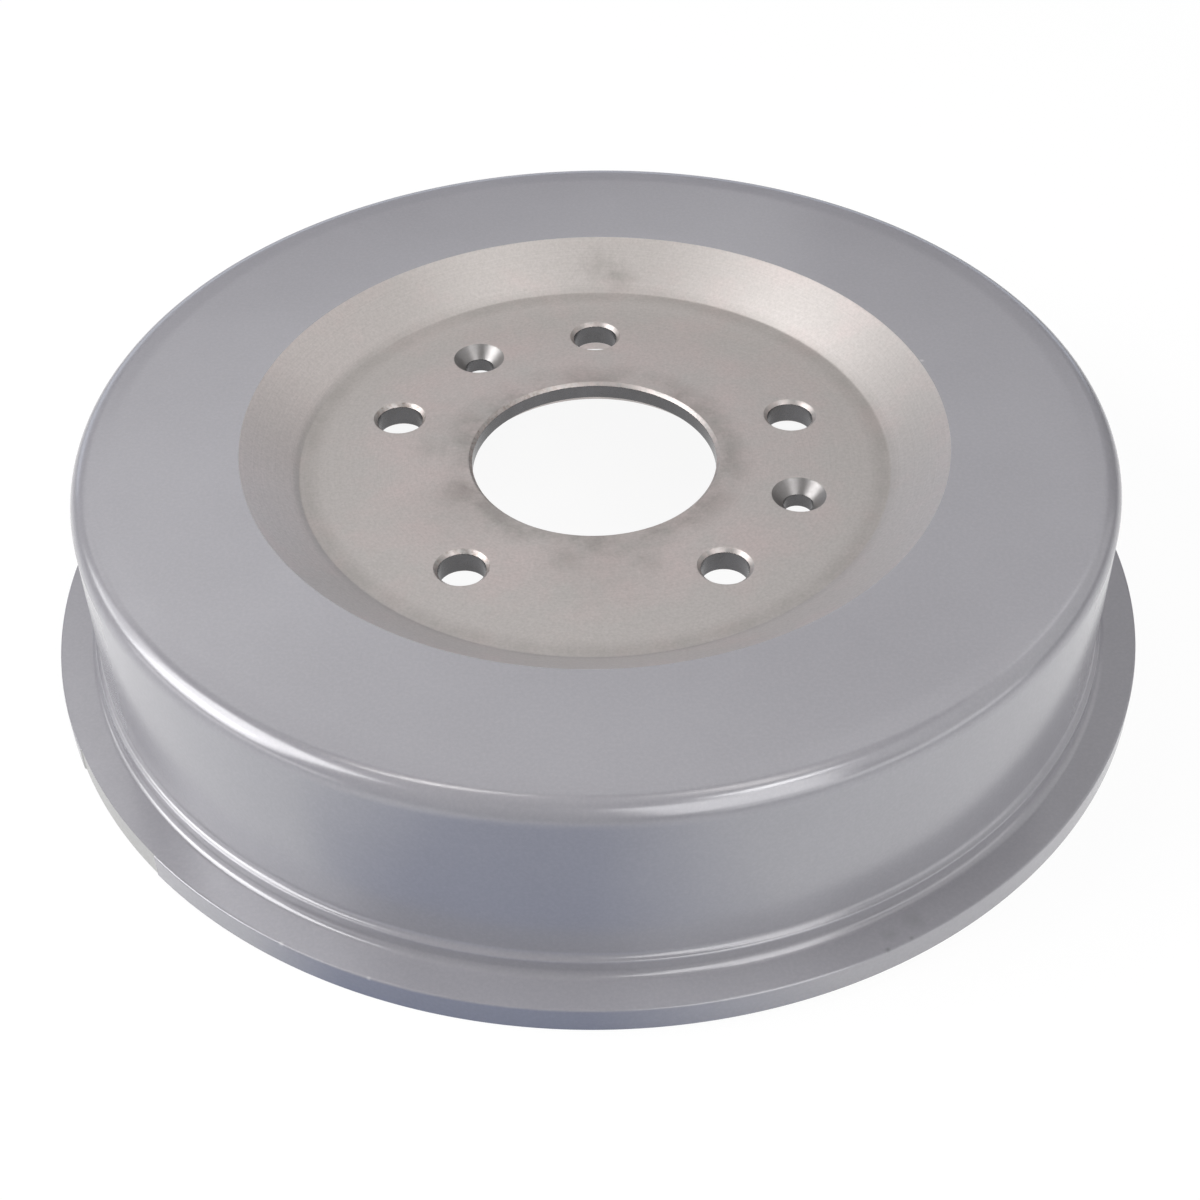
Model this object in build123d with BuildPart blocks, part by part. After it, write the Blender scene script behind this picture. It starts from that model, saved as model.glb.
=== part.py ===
from build123d import *
import os
from math import radians, tan

os.makedirs("parts", exist_ok=True)

# A cast iron brake drum, turned where it runs or seats, standing on its mouth.
# The origin is on the drum's axis in the plane of the mouth, and +Z points to the wheel.
# All sizes are in millimetres and degrees.

# The cylinder that the shoes run in
track_diameter = 250.0
track_length = 44.0
lead_in = 0.4
relief_depth = 1.0
relief_width = 10.0

# The outside of the wall and the stepped foot above the flange
wall_thickness = 14.5
land_reach = 1.6
land_rise = 4.8
ledge_rise = 0.5
flare_radius = 1.7
land_edge = 0.5
foot_bevel = 1.6

# The flange round the mouth, with the groove that the backing plate's lip runs in
flange_reach = 10.2
flange_thickness = 7.4
flange_edge = 0.4
groove_offset = 13.5
groove_width = 6.0
groove_depth = 4.0

# The closed end: a flat crown round a machined dish
crown_thickness = 8.2
shoulder_radius = 5.6
dish_depth = 10.4
dish_angle = 35.0

# The hub seat in the middle of the dish
hub_face_diameter = 160.0
hub_thickness = 7.2
pad_diameter = 144.0
pad_height = 0.8
bore_diameter = 66.6
bore_edge = 0.9
bore_lead_in = 2.4

# The holes for the wheel studs and the retaining screws, on one pitch circle
stud_count = 5
pitch_circle_diameter = 114.3
first_stud_angle = 90.0
stud_hole_diameter = 12.6
stud_hole_edge = 1.0
stud_hole_back_edge = 0.5
screw_hole_diameter = 8.0
countersink_diameter = 14.5
countersink_angle = 90.0
screw_gaps = (0, 3)

# The shallow cut in the flange's edge that balanced the drum
balance_cut_depth = 0.4
balance_cut_arc = 17.0
balance_cut_angle = -145.0

# Radii and heights worked out from the sizes above
track_radius = track_diameter / 2
relief_outer_radius = track_radius + relief_depth
wall_radius = track_radius + wall_thickness
land_radius = wall_radius + land_reach
land_height = flange_thickness + land_rise
flange_radius = land_radius + flange_reach
groove_inner_radius = track_radius + groove_offset
groove_outer_radius = groove_inner_radius + groove_width
crown_underside = track_length + relief_width
height = crown_underside + crown_thickness
hub_face_height = height - dish_depth
hub_underside = hub_face_height - hub_thickness
web_underside = hub_underside + pad_height
hub_face_radius = hub_face_diameter / 2
pad_radius = pad_diameter / 2
bore_radius = bore_diameter / 2
pitch_radius = pitch_circle_diameter / 2
stud_hole_radius = stud_hole_diameter / 2
stud_spacing = 360 / stud_count

# The cone of the dish, and its parallel underside at the hub's wall thickness
dish_slope = tan(radians(dish_angle))
dish_rim_radius = hub_face_radius + dish_depth / dish_slope
dish_under_foot = hub_face_radius + hub_thickness * tan(radians(dish_angle / 2)) + pad_height / dish_slope
dish_under_rim = dish_under_foot + (crown_underside - web_underside) / dish_slope


def corner(sketch, radius, height_there):
    """The corner of the section that lies nearest to a radius and a height."""
    return sketch.vertices().sort_by_distance((radius, height_there, 0))[0]


with BuildPart() as brake_drum:
    # Half of the drum's section, turned once about the axis
    with BuildSketch(Plane.XZ) as section:
        with BuildLine():
            Polyline(
                (track_radius + lead_in, 0),
                (track_radius, lead_in),
                (track_radius, track_length),
                (relief_outer_radius, track_length),
                (relief_outer_radius, crown_underside),
                (dish_under_rim, crown_underside),
                (dish_under_foot, web_underside),
                (pad_radius, web_underside),
                (pad_radius, hub_underside),
                (bore_radius + bore_lead_in, hub_underside),
                (bore_radius, hub_underside + bore_lead_in),
                (bore_radius, hub_face_height - bore_edge),
                (bore_radius + bore_edge, hub_face_height),
                (hub_face_radius, hub_face_height),
                (dish_rim_radius, height),
                (wall_radius, height),
                (wall_radius, land_height + ledge_rise),
                (land_radius, land_height),
                (land_radius, flange_thickness),
                (flange_radius, flange_thickness),
                (flange_radius, 0),
                (groove_outer_radius, 0),
                (groove_outer_radius, groove_depth),
                (groove_inner_radius, groove_depth),
                (groove_inner_radius, 0),
                close=True,
            )
        make_face()
        fillet(corner(section, wall_radius, height), radius=shoulder_radius)
        fillet(corner(section, wall_radius, land_height + ledge_rise), radius=flare_radius)
        chamfer(corner(section, land_radius, land_height), length=land_edge)
        chamfer(corner(section, land_radius, flange_thickness), length=foot_bevel)
        chamfer(corner(section, flange_radius, flange_thickness), length=flange_edge)
        chamfer(corner(section, flange_radius, 0), length=flange_edge)
    revolve(axis=Axis.Z)

    # Five plain holes for the wheel studs, eased at both ends
    with Locations(Plane.XY.offset(hub_face_height)):
        with PolarLocations(pitch_radius, stud_count, start_angle=first_stud_angle):
            Hole(stud_hole_radius, depth=hub_thickness)
    stud_hole_rims = brake_drum.edges(Select.LAST).filter_by(GeomType.CIRCLE)
    chamfer(stud_hole_rims.group_by(Axis.Z)[-1], length=stud_hole_edge)
    chamfer(stud_hole_rims.group_by(Axis.Z)[0], length=stud_hole_back_edge)

    # Two countersunk holes for the retaining screws, each midway between two studs
    for gap in screw_gaps:
        screw_angle = first_stud_angle + (gap + 0.5) * stud_spacing
        with Locations(Plane.XY.offset(hub_face_height)):
            with PolarLocations(pitch_radius, 1, start_angle=screw_angle):
                CounterSinkHole(
                    screw_hole_diameter / 2,
                    countersink_diameter / 2,
                    depth=hub_thickness,
                    counter_sink_angle=countersink_angle,
                )

    # The balance cut, a short shallow arc milled off the flange's outer face
    with BuildSketch(Plane.XZ.rotated((0, 0, balance_cut_angle - balance_cut_arc / 2))):
        with Locations((flange_radius - balance_cut_depth, 0)):
            Rectangle(2 * balance_cut_depth, flange_thickness, align=(Align.MIN, Align.MIN))
    revolve(axis=Axis.Z, revolution_arc=balance_cut_arc, mode=Mode.SUBTRACT)

brake_drum.part.label = "brake_drum"
export_step(brake_drum.part, "parts/brake_drum.step")
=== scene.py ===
import bmesh
import bpy
import numpy as np
from mathutils import Matrix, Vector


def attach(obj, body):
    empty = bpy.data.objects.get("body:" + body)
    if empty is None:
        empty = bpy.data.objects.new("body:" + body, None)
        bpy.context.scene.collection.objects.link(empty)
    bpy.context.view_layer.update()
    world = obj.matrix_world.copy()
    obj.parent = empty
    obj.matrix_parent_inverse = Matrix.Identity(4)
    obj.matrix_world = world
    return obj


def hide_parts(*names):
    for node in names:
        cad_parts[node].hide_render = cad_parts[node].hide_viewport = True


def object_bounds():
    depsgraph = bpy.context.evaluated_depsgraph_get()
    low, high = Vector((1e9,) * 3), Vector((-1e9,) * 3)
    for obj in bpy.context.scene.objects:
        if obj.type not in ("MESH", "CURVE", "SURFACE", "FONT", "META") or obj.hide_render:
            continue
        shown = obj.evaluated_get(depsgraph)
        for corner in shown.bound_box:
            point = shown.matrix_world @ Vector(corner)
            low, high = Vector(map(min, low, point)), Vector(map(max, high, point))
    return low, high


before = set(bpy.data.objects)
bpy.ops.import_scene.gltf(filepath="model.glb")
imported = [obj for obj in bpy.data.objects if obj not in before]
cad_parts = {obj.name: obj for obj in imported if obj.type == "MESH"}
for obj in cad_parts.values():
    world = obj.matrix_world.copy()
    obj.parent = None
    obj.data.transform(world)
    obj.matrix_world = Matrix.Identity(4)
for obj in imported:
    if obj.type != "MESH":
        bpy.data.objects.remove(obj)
cadLow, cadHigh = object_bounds()
print("frame loaded, drum box in metres:", tuple(cadLow), tuple(cadHigh))

# Sizes in the dictionaries are millimetres and degrees unless a note says otherwise.
mm = 0.001

# The drum's section, read from the frame where the frame has it
drum = {
    "height": cadHigh.z / mm,
    "flangeRadius": cadHigh.x / mm,
    "flangeThickness": 7.4,
    "flangeEdge": 0.4,
    "landRadius": 141.1,
    "landHeight": 12.2,
    "landEdge": 0.5,
    "footRounding": 1.9,
    "ledgeRise": 0.5,
    "wallRadius": 139.5,
    "flareRounding": 1.7,
    "crownFallRadius": 129.5,
    "crownFall": 3.0,         # the crown's slope from that radius out to the shoulder
    "crownFallRounding": 40,
    "shoulderRounding": 5.6,
    "dishRimRadius": 94.85,
    "dishFootRadius": 80.0,
    "dishFootRounding": 1.2,
    "hubFaceHeight": 51.8,
    "hubUnderside": 44.6,
    "webUnderside": 45.4,
    "padRadius": 72.0,
    "padRounding": 0.3,
    "dishUnderFoot": 83.41,
    "dishUnderRim": 95.69,
    "dishUnderRounding": 2.5,
    "crownUnderside": 54.0,
    "boreRadius": 33.3,
    "boreEdge": 0.9,
    "boreLeadIn": 2.4,
    "trackRadius": 125.0,
    "trackLength": 44.0,
    "trackLeadIn": 0.4,
    "reliefRadius": 126.0,
    "reliefRounding": 2.0,
    "grooveInner": 138.5,
    "grooveOuter": 144.5,
    "grooveDepth": 4.0,
    "turnedEdge": 0.12,       # what the lathe's deburring leaves on a sharp edge
}
holes = {
    "pitchRadius": 57.15,
    "studAngles": [90, 162, 234, 306, 18],
    "screwAngles": [126, 342],
    "studRadius": 6.3,
    "studEdge": 1.0,
    "studBackEdge": 0.5,
    "screwRadius": 4.0,
    "countersinkRadius": 7.25,
    "rounding": 0.1,          # on each edge of a hole
    "patchReach": 9,          # half of the square patch round a hole, in degrees along and millimetres across
    "ringRadius": 8.0,        # where a hole's own rings meet its patch
    "patchRows": (0, 0.35, 1.0),  # the patch's rows of points: shares of the way from that ring to the square
}
balanceCut = {
    "start": 206.5,
    "end": 223.5,
    "depth": 0.4,
    "runOut": 0.05,           # how far before and after its ends the cut runs out, in degrees
    "angleSlack": 0.1,        # the slacks say how near a face has to be to belong to the cut
    "radiusSlack": 0.05,
    "heightSlack": 0.001,
}
fineness = {
    "arcStep": 9.0,           # how far one step of a rounding turns
    "edgeStep": 30.0,         # the same on a fine turned edge
    "edgeRounding": 0.6,      # a rounding up to this counts as a fine edge
    "holdingLoop": 0.35,      # keeps a flat face's shading flat up to its rounded edge
    "loopFace": 1.4,          # a face longer than this gets such a loop at both its ends
    "weld": 0.002,            # points nearer than this become one
    "sharpAngle": 40,         # faces that meet at more than this are shaded with a sharp edge
}

# Finish numbers, the order of the material slots
paint, bareIron, trackIron, castInside, freshCut, drilledIron, sunkIron, edgeIron = range(8)


def roundedProfile(corners):
    # Each corner is (radius, height, rounding, finish of the face after it). The corner is cut back along
    # both its edges by rounding / tan(half the inner angle), and the arc between the two cuts turns by equal
    # steps about a centre that lies rounding / sin(half the inner angle) along the bisector. A long straight
    # face gets a holding loop at each end. The first and last corners stay as they are.
    points, finishes = [np.array(corners[0][:2])], [corners[0][3]]
    for before, at, after in zip(corners[:-2], corners[1:-1], corners[2:]):
        here, rounding = np.array(at[:2]), at[2]
        back, ahead = np.array(before[:2]) - here, np.array(after[:2]) - here
        back, ahead = back / np.linalg.norm(back), ahead / np.linalg.norm(ahead)
        inner = np.arccos(np.clip(back @ ahead, -1, 1))
        bisector = (back + ahead) / np.linalg.norm(back + ahead)
        centre = here + bisector * rounding / np.sin(inner / 2)
        cut = rounding / np.tan(inner / 2)
        fromCentre, toCentre = here + back * cut - centre, here + ahead * cut - centre
        turn = np.pi - inner
        step = fineness["arcStep"] if rounding > fineness["edgeRounding"] else fineness["edgeStep"]
        count = max(2, int(np.ceil(np.degrees(turn) / step)))
        share = np.linspace(0, 1, count + 1)[:, None]
        arc = np.sin((1 - share) * turn) * fromCentre + np.sin(share * turn) * toCentre
        half = (count + 1) // 2
        points.extend(centre + arc / np.sin(turn))
        finishes.extend([before[3]] * half + [at[3]] * (count + 1 - half))
    points.append(np.array(corners[-1][:2]))
    finishes.append(corners[-1][3])
    points, finishes = np.array(points), np.array(finishes)
    lengths = np.linalg.norm(np.diff(points, axis=0), axis=1)
    long = np.flatnonzero(lengths > fineness["loopFace"])
    along = (points[long + 1] - points[long]) / lengths[long, None] * fineness["holdingLoop"]
    places = np.repeat(long + 1, 2)
    loops = np.stack([points[long] + along, points[long + 1] - along], 1).reshape(-1, 2)
    return np.insert(points, places, loops, axis=0), np.insert(finishes, places, np.repeat(finishes[long], 2))


def turned(profile, angles):
    # A profile carried round the drum's axis: x and y are its radius times the cosine and sine of each angle
    radius, height = profile[:, :1], profile[:, 1:]
    turn = np.radians(angles)
    level = np.broadcast_to(height, (len(profile), len(angles)))
    return np.stack([radius * np.cos(turn), radius * np.sin(turn), level], -1)


class MeshStore:
    # Grids of points are gathered here, and become one welded mesh at the end
    def __init__(self):
        self.points, self.faces, self.finishes, self.count = [], [], [], 0

    def add(self, grid, finish, closed=False):
        # Cell (row, column) of the grid joins four neighbouring points, and a closed grid joins its last
        # column to its first. finish is one number, or one for each row.
        rows, columns = grid.shape[:2]
        across = np.arange(columns if closed else columns - 1)
        row = np.arange(rows - 1)[:, None] * columns
        following = (across + 1) % columns
        corners = [row + across, row + following, row + columns + following, row + columns + across]
        self.points.append(grid.reshape(-1, 3))
        self.faces.append(np.stack(corners, -1).reshape(-1, 4) + self.count)
        self.finishes.append(np.repeat(np.broadcast_to(finish, rows)[:-1], len(across)))
        self.count += rows * columns

    def build(self, name):
        mesh = bpy.data.meshes.new(name)
        points, faces = np.concatenate(self.points) * mm, np.concatenate(self.faces)
        mesh.from_pydata(points.tolist(), [], faces.tolist())
        mesh.polygons.foreach_set("material_index", np.concatenate(self.finishes).astype(np.int32))
        work = bmesh.new()
        work.from_mesh(mesh)
        bmesh.ops.remove_doubles(work, verts=work.verts, dist=fineness["weld"] * mm)
        bmesh.ops.recalc_face_normals(work, faces=work.faces)
        work.to_mesh(mesh)
        work.free()
        mesh.shade_smooth()
        mesh.set_sharp_from_angle(angle=np.radians(fineness["sharpAngle"]))
        piece = bpy.data.objects.new(name, mesh)
        bpy.context.scene.collection.objects.link(piece)
        return piece


def outsideCorners():
    # The section from the hub face, out over the crown, down the wall, round the mouth and up the inside
    d = drum
    edge = d["turnedEdge"]
    reach = holes["pitchRadius"] + holes["patchReach"]
    fall = (d["wallRadius"] - d["crownFallRadius"]) * np.tan(np.radians(d["crownFall"]))
    return [
        (reach, d["hubFaceHeight"], 0, bareIron),
        (d["dishFootRadius"], d["hubFaceHeight"], d["dishFootRounding"], bareIron),
        (d["dishRimRadius"], d["height"], edge, paint),
        (d["crownFallRadius"], d["height"], d["crownFallRounding"], paint),
        (d["wallRadius"], d["height"] - fall, d["shoulderRounding"], paint),
        (d["wallRadius"], d["landHeight"] + d["ledgeRise"], d["flareRounding"], paint),
        (d["landRadius"], d["landHeight"], d["landEdge"], paint),
        (d["landRadius"], d["flangeThickness"], d["footRounding"], paint),
        (d["flangeRadius"], d["flangeThickness"], d["flangeEdge"], paint),
        (d["flangeRadius"], 0, d["flangeEdge"], bareIron),
        (d["grooveOuter"], 0, edge, bareIron),
        (d["grooveOuter"], d["grooveDepth"], edge, bareIron),
        (d["grooveInner"], d["grooveDepth"], edge, bareIron),
        (d["grooveInner"], 0, edge, bareIron),
        (d["trackRadius"] + d["trackLeadIn"], 0, edge, bareIron),
        (d["trackRadius"], d["trackLeadIn"], edge, trackIron),
        (d["trackRadius"], d["trackLength"], edge, bareIron),
        (d["reliefRadius"], d["trackLength"], edge, bareIron),
        (d["reliefRadius"], d["crownUnderside"], d["reliefRounding"], castInside),
        (d["dishUnderRim"], d["crownUnderside"], d["dishUnderRounding"], castInside),
        (d["dishUnderFoot"], d["webUnderside"], d["dishUnderRounding"], castInside),
        (d["padRadius"], d["webUnderside"], d["padRounding"], bareIron),
        (d["padRadius"], d["hubUnderside"], edge, bareIron),
        (reach, d["hubUnderside"], 0, bareIron),
    ]


def boreCorners():
    # The section of the hub bore, from the underside up to the hub face
    d = drum
    edge = d["turnedEdge"]
    reach = holes["pitchRadius"] - holes["patchReach"]
    return [
        (reach, d["hubUnderside"], 0, bareIron),
        (d["boreRadius"] + d["boreLeadIn"], d["hubUnderside"], edge, bareIron),
        (d["boreRadius"], d["hubUnderside"] + d["boreLeadIn"], edge, drilledIron),
        (d["boreRadius"], d["hubFaceHeight"] - d["boreEdge"], edge, edgeIron),
        (d["boreRadius"] + d["boreEdge"], d["hubFaceHeight"], edge, bareIron),
        (reach, d["hubFaceHeight"], 0, bareIron),
    ]


def holeCorners(isStud):
    # The section of one hole about its own axis, from the hub face down to the underside
    h, top, bottom = holes, drum["hubFaceHeight"], drum["hubUnderside"]
    if isStud:
        wall = [
            (h["studRadius"] + h["studEdge"], top, h["rounding"], edgeIron),
            (h["studRadius"], top - h["studEdge"], h["rounding"], drilledIron),
            (h["studRadius"], bottom + h["studBackEdge"], h["rounding"], bareIron),
            (h["studRadius"] + h["studBackEdge"], bottom, h["rounding"], bareIron),
        ]
    else:
        sinkDepth = h["countersinkRadius"] - h["screwRadius"]
        wall = [
            (h["countersinkRadius"], top, h["rounding"], sunkIron),
            (h["screwRadius"], top - sinkDepth, h["rounding"], drilledIron),
            (h["screwRadius"], bottom, h["rounding"], bareIron),
        ]
    return [(h["ringRadius"], top, 0, bareIron), *wall, (h["ringRadius"], bottom, 0, bareIron)]


def addSection(store, angles):
    # Outside and inside, turned; the balance cut holds the flange's radius back between its two ends
    profile, finish = roundedProfile(outsideCorners())
    grid = turned(profile, angles)
    radius = np.hypot(grid[..., 0], grid[..., 1])
    held = drum["flangeRadius"] - balanceCut["depth"]
    inCut = (angles > balanceCut["start"]) & (angles < balanceCut["end"])
    grid[..., :2] *= np.where(inCut & (radius > held), held / radius, 1.0)[..., None]
    store.add(grid, finish, closed=True)

    # The bore
    profile, finish = roundedProfile(boreCorners())
    store.add(turned(profile, angles), finish, closed=True)


def addHubFaces(store, angles):
    # Hub face and underside between the holes: rings a millimetre apart, left out where a hole has its patch
    reach, pitch = holes["patchReach"], holes["pitchRadius"]
    places = sorted(holes["studAngles"] + holes["screwAngles"])
    rings = np.linspace(pitch - reach, pitch + reach, 2 * reach + 1)
    around = np.concatenate([angles, angles + 360])
    for height in (drum["hubFaceHeight"], drum["hubUnderside"]):
        flatRings = np.stack([rings, np.full_like(rings, height)], -1)
        for place, following in zip(places, places[1:] + [places[0] + 360]):
            kept = around[(around >= place + reach) & (around <= following - reach)]
            store.add(turned(flatRings, kept), bareIron)


def addHoles(store):
    # The holes: a wall carried round the hole's axis, and a patch that blends its ring into the square
    # cut-out, point = (1 - share) * ring + share * square, with as many points on the ring as on the square.
    # The square's points run round its four sides from one corner, and the ring's start 45 degrees back, at
    # the same corner.
    reach, pitch = holes["patchReach"], holes["pitchRadius"]
    side = np.arange(2 * reach)
    near, far = np.full_like(side, -reach), np.full_like(side, reach)
    along = np.concatenate([side - reach, far, reach - side, near])
    across = np.concatenate([far, reach - side, near, side - reach])
    turn = np.radians(np.arange(8 * reach) * 45.0 / reach - 45.0)
    share = np.array(holes["patchRows"])[:, None, None]
    allHoles = [(angle, True) for angle in holes["studAngles"]]
    allHoles += [(angle, False) for angle in holes["screwAngles"]]
    for angle, isStud in allHoles:
        outward = np.array([np.cos(np.radians(angle)), np.sin(np.radians(angle))])
        sideways = np.array([-outward[1], outward[0]])
        spokes = np.outer(np.cos(turn), outward) + np.outer(np.sin(turn), sideways)
        profile, finish = roundedProfile(holeCorners(isStud))
        level = np.broadcast_to(profile[:, 1:, None], (len(profile), len(turn), 1))
        flatPoints = pitch * outward + profile[:, :1, None] * spokes
        store.add(np.concatenate([flatPoints, level], -1), finish, closed=True)
        bearing = np.radians(angle + along)
        square = np.stack([(pitch + across) * np.cos(bearing), (pitch + across) * np.sin(bearing)], -1)
        ring = pitch * outward + holes["ringRadius"] * spokes
        blend = (1 - share) * ring + share * square
        for height in (drum["hubFaceHeight"], drum["hubUnderside"]):
            level = np.full(blend.shape[:2] + (1,), height)
            store.add(np.concatenate([blend, level], -1), bareIron, closed=True)


def markBalanceCut(mesh):
    # The fresh metal of the balance cut is the flange's outer face between the cut's two ends
    cut = balanceCut
    centres = np.empty(len(mesh.polygons) * 3)
    mesh.polygons.foreach_get("center", centres)
    x, y, z = centres.reshape(-1, 3).T / mm
    index = np.empty(len(mesh.polygons), np.int32)
    mesh.polygons.foreach_get("material_index", index)
    bearing = np.degrees(np.arctan2(y, x)) % 360
    onCut = (bearing > cut["start"] - cut["angleSlack"]) & (bearing < cut["end"] + cut["angleSlack"])
    onCut &= np.hypot(x, y) > drum["flangeRadius"] - cut["depth"] - cut["radiusSlack"]
    onCut &= (z > cut["heightSlack"]) & (z < drum["flangeThickness"] - cut["heightSlack"])
    index[onCut] = freshCut
    mesh.polygons.foreach_set("material_index", index)


def castingMesh():
    # One ring of angles, a degree apart, serves every turned grid, with a close pair at each end of the cut
    runOut = balanceCut["runOut"]
    cutEnds = [balanceCut[end] + side * runOut for end in ("start", "end") for side in (-1, 1)]
    angles = np.sort(np.concatenate([np.arange(360.0), cutEnds]))
    store = MeshStore()
    addSection(store, angles)
    addHubFaces(store, angles)
    addHoles(store)
    piece = store.build("drum_casting")
    markBalanceCut(piece.data)
    print("drum casting:", len(piece.data.vertices), "points,", len(piece.data.polygons), "faces")
    return piece


casting = castingMesh()


def addNode(tree, kind, sockets=None, **settings):
    node = tree.nodes.new(kind)
    for name, value in settings.items():
        setattr(node, name, value)
    for key, value in (sockets or {}).items():
        if isinstance(value, bpy.types.NodeSocket):
            tree.links.new(value, node.inputs[key])
        else:
            node.inputs[key].default_value = value
    return node


def maths(tree, operation, *values, clamp=False):
    node = addNode(tree, "ShaderNodeMath", dict(enumerate(values)), operation=operation, use_clamp=clamp)
    return node.outputs[0]


def spread(tree, value, low, high, fromLow=0.3, fromHigh=0.7):
    # Carries a value from one range to another, and holds it there. Most of a noise lies between 0.3 and 0.7.
    sockets = {"Value": value, "From Min": fromLow, "From Max": fromHigh, "To Min": low, "To Max": high}
    return addNode(tree, "ShaderNodeMapRange", sockets).outputs["Result"]


def mixColour(tree, amount, first, second):
    # Sockets 6 and 7 are the mix node's two colours, and output 2 is the mixed one
    sockets = {"Factor": amount, 6: first, 7: second}
    return addNode(tree, "ShaderNodeMix", sockets, data_type="RGBA").outputs[2]


def grain(tree, place, size, detail=2, roughness=0.5):
    # Noise whose lumps are about size millimetres across
    sockets = {"Vector": place, "Scale": 1 / (size * mm), "Detail": detail, "Roughness": roughness}
    return addNode(tree, "ShaderNodeTexNoise", sockets).outputs["Fac"]


def fromAxis(tree, place):
    # How far a point is from the drum's axis, in metres: the length of its x and y
    flat = addNode(tree, "ShaderNodeVectorMath", {0: place, 1: (1, 1, 0)}, operation="MULTIPLY").outputs[0]
    return addNode(tree, "ShaderNodeVectorMath", {0: flat}, operation="LENGTH").outputs["Value"]


def fromPoint(tree, place, point):
    # How far a point of the surface is from one given in millimetres, in metres
    target = tuple(value * mm for value in point)
    return addNode(tree, "ShaderNodeVectorMath", {0: place, 1: target}, operation="DISTANCE").outputs["Value"]


def band(tree, radius, inner, outer, soft, strength):
    # A ring between two radii, in millimetres, that fades over soft millimetres at both its edges
    rise = spread(tree, radius, 0, strength, (inner - soft) * mm, inner * mm)
    fall = spread(tree, radius, 1, 0, outer * mm, (outer + soft) * mm)
    return maths(tree, "MULTIPLY", rise, fall)


spotEdge = {
    "grain": (3, 3),
    "fade": (-0.5, 0.4),      # where a spot starts and ends to fade, as shares of its reach
}


def spots(tree, place, marks):
    # Uneven round spots, each given by its centre, its reach in millimetres and its strength. A noise pushes
    # a spot's edge in and out: what fades it is the distance from its centre less the noise times its reach.
    ragged = grain(tree, place, *spotEdge["grain"])
    total = 0.0
    for centre, reach, strength in marks:
        pushed = maths(tree, "MULTIPLY_ADD", ragged, -reach * mm, fromPoint(tree, place, centre))
        fadeFrom, fadeTo = (share * reach * mm for share in spotEdge["fade"])
        total = maths(tree, "ADD", total, spread(tree, pushed, strength, 0, fadeFrom, fadeTo), clamp=True)
    return total


def emptyMaterial(name):
    material = bpy.data.materials.new(name)
    material.use_nodes = True
    material.node_tree.nodes.clear()
    return material, material.node_tree


def newFinish(name):
    material, tree = emptyMaterial(name)
    shader = addNode(tree, "ShaderNodeBsdfPrincipled")
    addNode(tree, "ShaderNodeOutputMaterial", {"Surface": shader.outputs[0]})
    place = addNode(tree, "ShaderNodeTexCoord").outputs["Object"]
    return material, tree, shader, place


def addRelief(tree, shader, place, size, detail, roughness, strength, depth):
    # Fine relief, up to depth millimetres high
    height = grain(tree, place, size, detail, roughness)
    sockets = {"Height": height, "Strength": strength, "Distance": depth * mm}
    tree.links.new(addNode(tree, "ShaderNodeBump", sockets).outputs[0], shader.inputs["Normal"])


# In the dictionaries of the finishes, a colour is its linear red, green, blue and alpha. A grain is the size
# of its lumps, its detail and its roughness, and a relief adds its strength and its depth. A band is its two
# radii, its fade and its strength. A range is two values, then the two values of the noise that give them.
# The marks are those that the photograph shows, each with its centre, its reach and its strength.
paintLook = {
    "colour": (0.297, 0.291, 0.316, 1),
    "dark": (0.282, 0.276, 0.30, 1),
    "cloudGrain": (35, 3),
    "dust": (0.42, 0.42, 0.43, 1),
    "dustGrain": (0.9, 3, 0.7),
    "dustRange": (0, 0.16, 0.4, 0.7),
    "metallic": 0.08,
    "shine": 1.0,
    "roughness": (0.18, 0.22),
    "roughnessGrain": (3, 3),
    "relief": (1.6, 2, 0.5, 0.08, 0.05),
    "spot": (0.17, 0.17, 0.18, 1),
    "spots": [
        ((69.4, -133.8, 7.4), 0.9, 0.7), ((75.3, -130.3, 7.4), 0.8, 0.6),
        ((76.8, -124.9, 7.4), 4, 0.3), ((70.3, -129.4, 7.4), 3, 0.25),
    ],
    "chip": (0.55, 0.54, 0.54, 1),
    "chips": [
        ((-74.5, -131.6, 7.1), 0.9, 0.6), ((-52.7, -141.7, 7.1), 0.8, 0.6), ((91.3, 28.4, 62.2), 0.9, 0.6),
    ],
}


def satinPaint():
    look = paintLook
    material, tree, shader, place = newFinish("satin_grey_paint")
    cloud = spread(tree, grain(tree, place, *look["cloudGrain"]), 0, 1)
    colour = mixColour(tree, cloud, look["dark"], look["colour"])
    dust = spread(tree, grain(tree, place, *look["dustGrain"]), *look["dustRange"])
    colour = mixColour(tree, dust, colour, look["dust"])
    colour = mixColour(tree, spots(tree, place, look["spots"]), colour, look["spot"])
    colour = mixColour(tree, spots(tree, place, look["chips"]), colour, look["chip"])
    tree.links.new(colour, shader.inputs["Base Color"])
    rough = spread(tree, grain(tree, place, *look["roughnessGrain"]), *look["roughness"])
    tree.links.new(rough, shader.inputs["Roughness"])
    shader.inputs["Metallic"].default_value = look["metallic"]
    shader.inputs["Specular IOR Level"].default_value = look["shine"]
    addRelief(tree, shader, place, *look["relief"])
    return material


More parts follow.
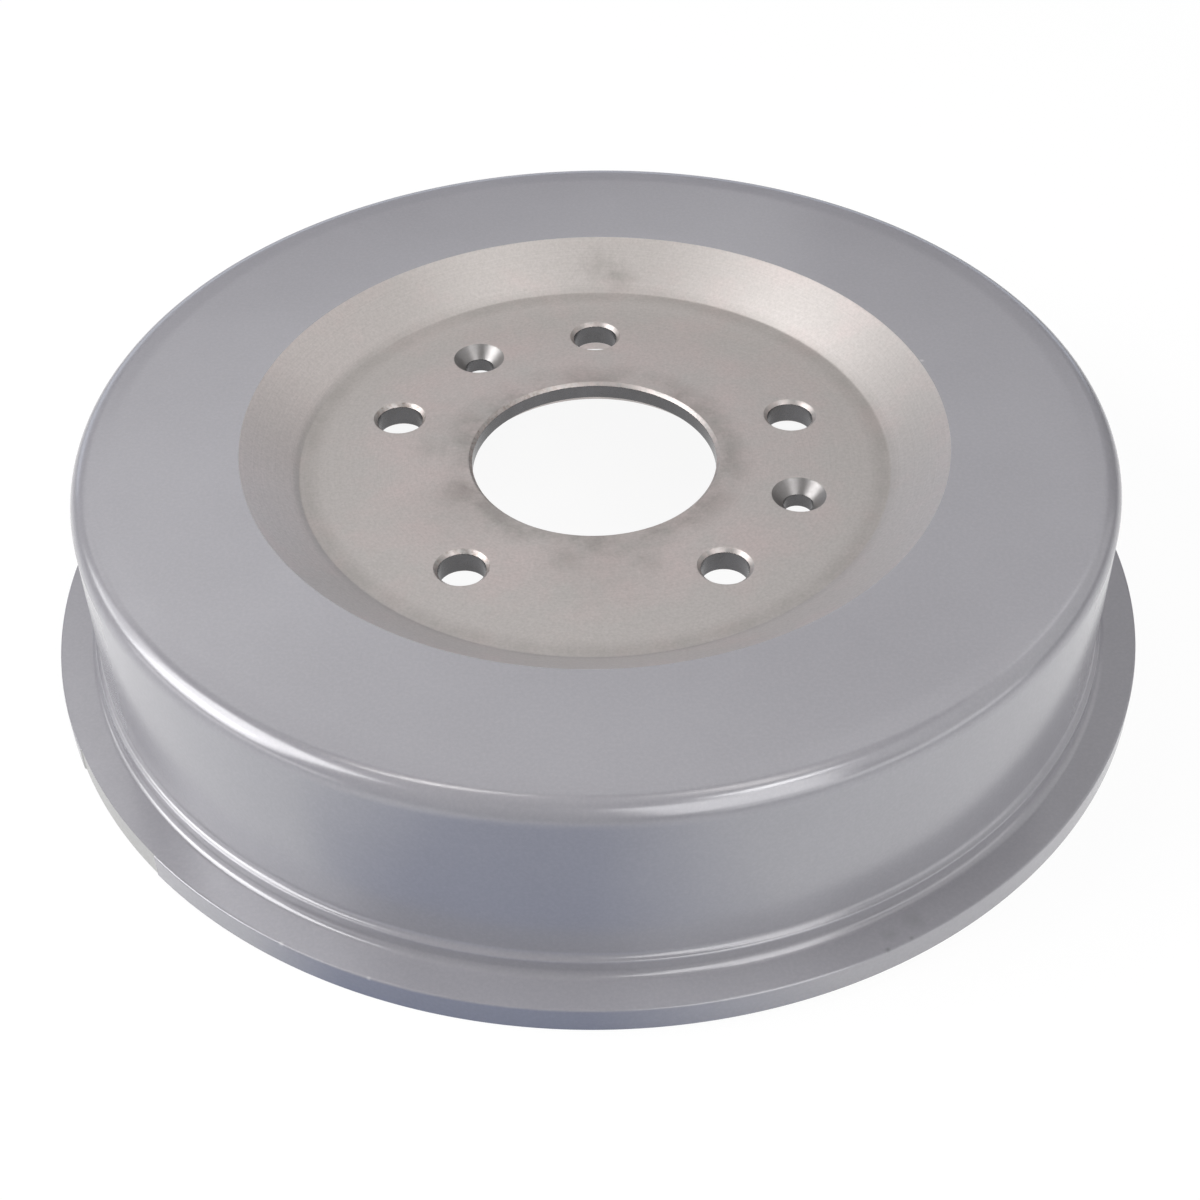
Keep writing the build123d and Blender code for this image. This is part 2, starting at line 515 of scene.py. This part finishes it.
ironLook = {
    # Each iron finish: its roughness, and the two colours that its mottling goes between
    "turned_iron": (0.48, (0.67, 0.588, 0.575, 1), (0.615, 0.58, 0.564, 1)),
    "shoe_track_iron": (0.35, (0.67, 0.588, 0.575, 1), (0.615, 0.58, 0.564, 1)),
    "cast_inside": (0.7, (0.25, 0.25, 0.26, 1), (0.22, 0.22, 0.23, 1)),
    "fresh_cut": (0.4, (0.55, 0.55, 0.55, 1), (0.5, 0.5, 0.5, 1)),
    "drilled_iron": (0.26, (0.15, 0.15, 0.16, 1), (0.11, 0.11, 0.115, 1)),
    "countersunk_iron": (0.42, (0.32, 0.31, 0.31, 1), (0.28, 0.27, 0.27, 1)),
    # What they share
    "metallic": 0.85,
    "cloudGrain": (14, 4, 0.6),
    # The colour of real dirt, and of the painted shade at the foot of the dish
    "dirtAndShade": (0.17, 0.155, 0.14, 1),
    "flecks": 0.22,
    "fleckGrain": (0.8, 4, 0.7),
    "latheLines": 0.06,
    "latheLineWidth": 0.35,
    "latheLineDetail": 2,
    "roughnessSpread": 0.05,
    "roughnessGrain": (1.2, 4, 0.7),
    "relief": (0.5, 3, 0.6, 0.15, 0.03),
}
# Marks on the dish: real dirt, smudges and a greener tint, a painted shade at the foot of the dish, and a
# painted highlight on the left of the cone
dishDirtShadeAndSheen = {
    "greenBand": (72, 90, 14, 0.5),
    # Painted highlight: a brighter colour on the cone's left side, standing in for the sheen of the turned
    # metal there
    "paintedSheen": (0.86, 0.79, 0.77, 1),
    "paintedSheenCentre": (-88, 8, 57.0),
    "paintedSheenReach": (24.5, 70),  # how far from that point the painted highlight starts and ends to fade
    "paintedSheenShare": 0.6,
    "paintedSheenBand": (82, 96, 2, 1),
    "patchGrain": (9, 4, 0.6),
    "patchRange": (0.2, 1, 0.4, 0.6),
    # Painted shade: a dark ring at the foot of the dish, where the cone shades the hub face
    "footShadeBand": (77.4, 79.2, 3.4, 0.22),
    "footShadeRange": (0.6, 1, 0.2, 1),
    "boreBand": (33.0, 37.0, 7, 0.36),
    "smudges": [
        ((1, 87.5, 57.0), 8, 0.22), ((7.5, 84, 54.6), 6, 0.3), ((-7, -44, 51.8), 6, 0.22),
        ((14, -44, 51.8), 5, 0.2), ((-39, -17, 51.8), 7, 0.18), ((-45, 3, 51.8), 7, 0.14),
        ((-36, -24, 51.8), 20, 0.12), ((-40, 14, 51.8), 16, 0.1), ((2, -46, 51.8), 22, 0.12),
    ],
}


def paintedSheenSide(tree, place, radius):
    # Painted highlight: the cone's colour is made brighter on its left side, standing in for the sheen of its
    # turned metal there
    fadeFrom, fadeTo = (value * mm for value in dishDirtShadeAndSheen["paintedSheenReach"])
    away = fromPoint(tree, place, dishDirtShadeAndSheen["paintedSheenCentre"])
    near = spread(tree, away, dishDirtShadeAndSheen["paintedSheenShare"], 0, fadeFrom, fadeTo)
    return maths(tree, "MULTIPLY", near, band(tree, radius, *dishDirtShadeAndSheen["paintedSheenBand"]))


def dishDirtAndShade(tree, place, radius):
    # Painted shade at the foot of the dish, where the cone shades the hub face, and dirt round the bore, with
    # smudges on the hub face and the cone
    patchy = spread(tree, grain(tree, place, *dishDirtShadeAndSheen["patchGrain"]), *dishDirtShadeAndSheen["patchRange"])
    footShadePatchy = spread(tree, patchy, *dishDirtShadeAndSheen["footShadeRange"])
    # The painted shade at the dish's foot, then the dirt round the bore
    footShade = maths(tree, "MULTIPLY", band(tree, radius, *dishDirtShadeAndSheen["footShadeBand"]), footShadePatchy)
    bore = maths(tree, "MULTIPLY", band(tree, radius, *dishDirtShadeAndSheen["boreBand"]), patchy)
    rings = maths(tree, "ADD", footShade, bore, clamp=True)
    return maths(tree, "ADD", rings, spots(tree, place, dishDirtShadeAndSheen["smudges"]), clamp=True)


# A turned iron finish; on the dish it also carries real dirt, a painted shade at the dish's foot and a
# painted highlight on the cone's left side
def turnedIron(name, withDirtShadeAndSheen=False):
    look = ironLook
    roughness, warm, green = look[name]
    material, tree, shader, place = newFinish(name)
    radius = fromAxis(tree, place)
    cloud = spread(tree, grain(tree, place, *look["cloudGrain"]), 0, 1)
    if withDirtShadeAndSheen:
        # Greener and duller towards the foot of the dish
        cloud = maths(tree, "ADD", cloud, band(tree, radius, *dishDirtShadeAndSheen["greenBand"]), clamp=True)
    colour = mixColour(tree, cloud, warm, green)
    if withDirtShadeAndSheen:
        # Painted highlight on the cone's left side
        colour = mixColour(tree, paintedSheenSide(tree, place, radius), colour, dishDirtShadeAndSheen["paintedSheen"])
    lineSockets = {"W": radius, "Scale": 1 / (look["latheLineWidth"] * mm), "Detail": look["latheLineDetail"]}
    lines = addNode(tree, "ShaderNodeTexNoise", lineSockets, noise_dimensions="1D").outputs["Fac"]
    lines = spread(tree, lines, 0, look["latheLines"])
    flecks = spread(tree, grain(tree, place, *look["fleckGrain"]), 0, look["flecks"])
    colour = mixColour(tree, maths(tree, "ADD", flecks, lines, clamp=True), colour, look["dirtAndShade"])
    if withDirtShadeAndSheen:
        # Real dirt and smudges, and the painted shade at the foot of the dish
        colour = mixColour(tree, dishDirtAndShade(tree, place, radius), colour, look["dirtAndShade"])
    tree.links.new(colour, shader.inputs["Base Color"])
    low, high = roughness - look["roughnessSpread"], roughness + look["roughnessSpread"]
    rough = spread(tree, grain(tree, place, *look["roughnessGrain"]), low, high)
    tree.links.new(rough, shader.inputs["Roughness"])
    shader.inputs["Metallic"].default_value = look["metallic"]
    addRelief(tree, shader, place, *look["relief"])
    return material


edgeLook = {
    "bright": (0.42, 0.405, 0.395, 1),
    "warm": (0.54, 0.48, 0.465, 1),
    "cloudGrain": (1.5, 3),
    "rust": (0.19, 0.135, 0.10, 1),
    "rustGrain": (1.1, 4, 0.7),
    "rustRange": (0, 0.55, 0.46, 0.66),
    "rustSides": (-22, 4),    # the rust thins out from the first of these x to the second
    "rustShares": (1, 0.25),
    "metallic": 0.85,
    "roughness": 0.48,
    "relief": (0.6, 3, 0.6, 0.4, 0.05),
}


def wornEdge():
    # The eased edge of the bore and of the stud holes: bright, with brown specks of rust, more at the left
    look = edgeLook
    material, tree, shader, place = newFinish("worn_edge_iron")
    cloud = spread(tree, grain(tree, place, *look["cloudGrain"]), 0, 1)
    colour = mixColour(tree, cloud, look["bright"], look["warm"])
    rust = spread(tree, grain(tree, place, *look["rustGrain"]), *look["rustRange"])
    sideways = addNode(tree, "ShaderNodeSeparateXYZ", {0: place}).outputs["X"]
    left, right = (value * mm for value in look["rustSides"])
    rust = maths(tree, "MULTIPLY", rust, spread(tree, sideways, *look["rustShares"], left, right))
    colour = mixColour(tree, rust, colour, look["rust"])
    tree.links.new(colour, shader.inputs["Base Color"])
    shader.inputs["Metallic"].default_value = look["metallic"]
    shader.inputs["Roughness"].default_value = look["roughness"]
    addRelief(tree, shader, place, *look["relief"])
    return material


# The order of the finish numbers
casting.data.materials.append(satinPaint())
casting.data.materials.append(turnedIron("turned_iron", withDirtShadeAndSheen=True))
for plainIron in ("shoe_track_iron", "cast_inside", "fresh_cut", "drilled_iron", "countersunk_iron"):
    casting.data.materials.append(turnedIron(plainIron))
casting.data.materials.append(wornEdge())
print("finishes:", ", ".join(material.name for material in casting.data.materials))

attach(casting, "root")
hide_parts("brake_drum")

# Camera: its place and turn were worked out from the drum's own circles in the photograph
camera = {
    "eye": (5.762, -424.879, 379.742),
    "pitch": 41.869,
    "yaw": -1.380,
    "roll": 1.253,
    "lens": 59.006,
    "sensor": 36,
    "shift": 0.01586,
    "clip": (0.01, 50),       # metres
}


def addCamera():
    pitch, yaw, roll = (np.radians(camera[name]) for name in ("pitch", "yaw", "roll"))
    forward = np.array([np.sin(yaw) * np.cos(pitch), np.cos(yaw) * np.cos(pitch), -np.sin(pitch)])
    right = np.array([np.cos(yaw), -np.sin(yaw), 0])
    down = np.cross(forward, right)
    rightRolled = right * np.cos(roll) + down * np.sin(roll)
    downRolled = down * np.cos(roll) - right * np.sin(roll)
    lens = bpy.data.cameras.new("camera")
    lens.lens, lens.sensor_width, lens.shift_x = camera["lens"], camera["sensor"], camera["shift"]
    lens.clip_start, lens.clip_end = camera["clip"]
    eye = bpy.data.objects.new("camera", lens)
    bpy.context.scene.collection.objects.link(eye)
    turn = Matrix(np.stack([rightRolled, -downRolled, -forward], 1).tolist()).to_4x4()
    turn.translation = np.array(camera["eye"]) * mm
    eye.matrix_world = turn
    bpy.context.scene.camera = eye
    print("camera set")


addCamera()

# Studio: each soft lamp is a flat box that faces the drum, given by its compass angle from straight behind
# the drum, its height angle, the angles that its width and height fill as seen from the drum, its brightness
# and its tint. A box with no width is square.
studio = {
    "lamps": {
        "left_box": (260, 37, 44, 39, 4.4, "white"),
        "left_core_box": (262, 31, 26, 12, 2.4, "white"),
        "left_far_box": (289, 30, 14, 32, 1.4, "white"),
        "left_far_low_box": (285, 20, 16, 8, 1.4, "white"),
        "left_low_box": (250, 6, 50, 11, 1.2, "white"),
        "left_top_box": (258, 69, 50, 12, 0.15, "warm"),
        "left_strip": (315, 72, 50, 4, 6.5, "warm"),
        "right_low_box": (128, 7, 64, 13, 1.3, "white"),
        "right_front_box": (152, 35, 38, 42, 2.5, "white"),
        "right_high_box": (130, 62, 30, 10, 6.0, "white"),
        "right_strip": (62, 76, 70, 8, 2.6, "warm"),
        "back_low_box": (352, 10, 88, 18, 0.7, "cool"),
        "back_mid_box": (338, 40, 64, 14, 0.76, "white"),
        "back_mid_right_box": (32, 40, 44, 14, 0.44, "white"),
        "back_high_box": (10, 56, 90, 14, 0.64, "white"),
        "right_side_box": (88, 34, 72, 46, 0.5, "white"),
        "top_box": (0, 90, 0, 24, 0.2, "white"),
    },
    "tints": {"white": (1, 1, 1), "cool": (0.86, 0.95, 1.12), "warm": (1.03, 1.0, 0.97)},
    "distance": 1.3,          # metres
    "power": 4,               # watts for each square metre of a box whose brightness is 1
    "roomLevel": 0.02,        # how bright the room is for everything but the camera
}
white = (1, 1, 1, 1)


def addLamps():
    distance = studio["distance"]
    for name, (azimuth, elevation, width, height, level, tint) in studio["lamps"].items():
        azimuth, elevation, width, height = np.radians((azimuth, elevation, width, height))
        across = np.array([np.cos(azimuth), -np.sin(azimuth), 0])
        flatAway = np.array([np.sin(azimuth), np.cos(azimuth), 0])
        away = flatAway * np.cos(elevation) + np.array([0, 0, np.sin(elevation)])
        lamp = bpy.data.lights.new(name, "AREA")
        lamp.shape = "RECTANGLE"
        lamp.size_y = 2 * distance * np.tan(height / 2)
        lamp.size = 2 * distance * np.cos(elevation) * np.tan(width / 2) if width else lamp.size_y
        lamp.color = studio["tints"][tint]
        lamp.energy = studio["power"] * lamp.size * lamp.size_y * level
        holder = bpy.data.objects.new(name, lamp)
        bpy.context.scene.collection.objects.link(holder)
        turn = Matrix(np.stack([across, np.cross(away, across), away], 1).tolist()).to_4x4()
        turn.translation = away * distance
        holder.matrix_world = turn


def seenBy(tree, *kinds):
    # 1 for a ray of one of these kinds, and 0 for any other
    rays = addNode(tree, "ShaderNodeLightPath").outputs
    seen = rays[f"Is {kinds[0]} Ray"]
    for kind in kinds[1:]:
        seen = maths(tree, "MAXIMUM", seen, rays[f"Is {kind} Ray"])
    return seen


def addWorld():
    # The camera sees a white room, through clear things too, and everything else a nearly dark one
    world = bpy.data.worlds.new("studio")
    bpy.context.scene.world = world
    world.use_nodes = True
    background = world.node_tree.nodes["Background"]
    seen = seenBy(world.node_tree, "Camera", "Transmission")
    level = spread(world.node_tree, seen, studio["roomLevel"], 1, 0, 1)
    world.node_tree.links.new(level, background.inputs["Strength"])
    background.inputs["Color"].default_value = white


floorLook = {
    "reach": 0.75,            # metres
    "whiteShare": 0.92,       # how much of the floor's look is plain white, so that the rest keeps the shadow
    # What the floor's light brings to the drum: bluish in front of it, white at its sides
    "front": (0.29, 0.36, 0.50, 1),
    "side": (0.88, 0.90, 0.89, 1),
    # What the gloss of the paint finds on the floor: bluish in front of the drum, white at its sides and
    # under it, and grey far off
    "frontGloss": (0.12, 0.18, 0.38, 1),
    "farGloss": (0.45, 0.45, 0.46, 1),
    "frontX": -30,            # the middle of the bluish part
    "frontReach": (30, 90),   # where it starts and ends to fade, to both sides of its middle
    "underReach": (-140, -118),  # the y between which it fades out under the drum
    "farReach": (230, 420),   # the radii between which the floor goes grey
}


def floorMaterial():
    look = floorLook
    material, tree = emptyMaterial("pale_floor")
    place = addNode(tree, "ShaderNodeTexCoord").outputs["Object"]
    parts = addNode(tree, "ShaderNodeSeparateXYZ", {0: place}).outputs
    fades = {name: [value * mm for value in look[name]] for name in ("frontReach", "underReach", "farReach")}
    fromMiddle = maths(tree, "ABSOLUTE", maths(tree, "SUBTRACT", parts["X"], look["frontX"] * mm))
    side = spread(tree, fromMiddle, 0, 1, *fades["frontReach"])
    under = spread(tree, parts["Y"], 0, 1, *fades["underReach"])
    far = spread(tree, fromAxis(tree, place), 0, 1, *fades["farReach"])
    gloss = mixColour(tree, maths(tree, "ADD", side, under, clamp=True), look["frontGloss"], white)
    gloss = mixColour(tree, far, gloss, look["farGloss"])

    # Looked at, the floor is white. Its bounced light has the tints of the dictionary.
    seen = seenBy(tree, "Camera", "Glossy", "Transmission")
    bounced = mixColour(tree, side, look["front"], look["side"])
    matt = addNode(tree, "ShaderNodeBsdfDiffuse", {"Color": mixColour(tree, seen, bounced, white)})
    glowColour = mixColour(tree, seenBy(tree, "Glossy"), white, gloss)
    glow = addNode(tree, "ShaderNodeEmission", {"Color": glowColour, "Strength": 1.0})
    share = maths(tree, "MULTIPLY", seen, look["whiteShare"])
    mixed = addNode(tree, "ShaderNodeMixShader", {0: share, 1: matt.outputs[0], 2: glow.outputs[0]})
    addNode(tree, "ShaderNodeOutputMaterial", {"Surface": mixed.outputs[0]})
    return material


def addFloor():
    mesh = bpy.data.meshes.new("floor")
    reach = floorLook["reach"]
    corners = [(-reach, -reach, 0), (reach, -reach, 0), (reach, reach, 0), (-reach, reach, 0)]
    mesh.from_pydata(corners, [], [(0, 1, 2, 3)])
    mesh.materials.append(floorMaterial())
    floor = bpy.data.objects.new("floor", mesh)
    bpy.context.scene.collection.objects.link(floor)


addLamps()
addWorld()
addFloor()
bpy.context.scene.view_settings.view_transform = "Standard"
print("studio set:", len(studio["lamps"]), "lamps")
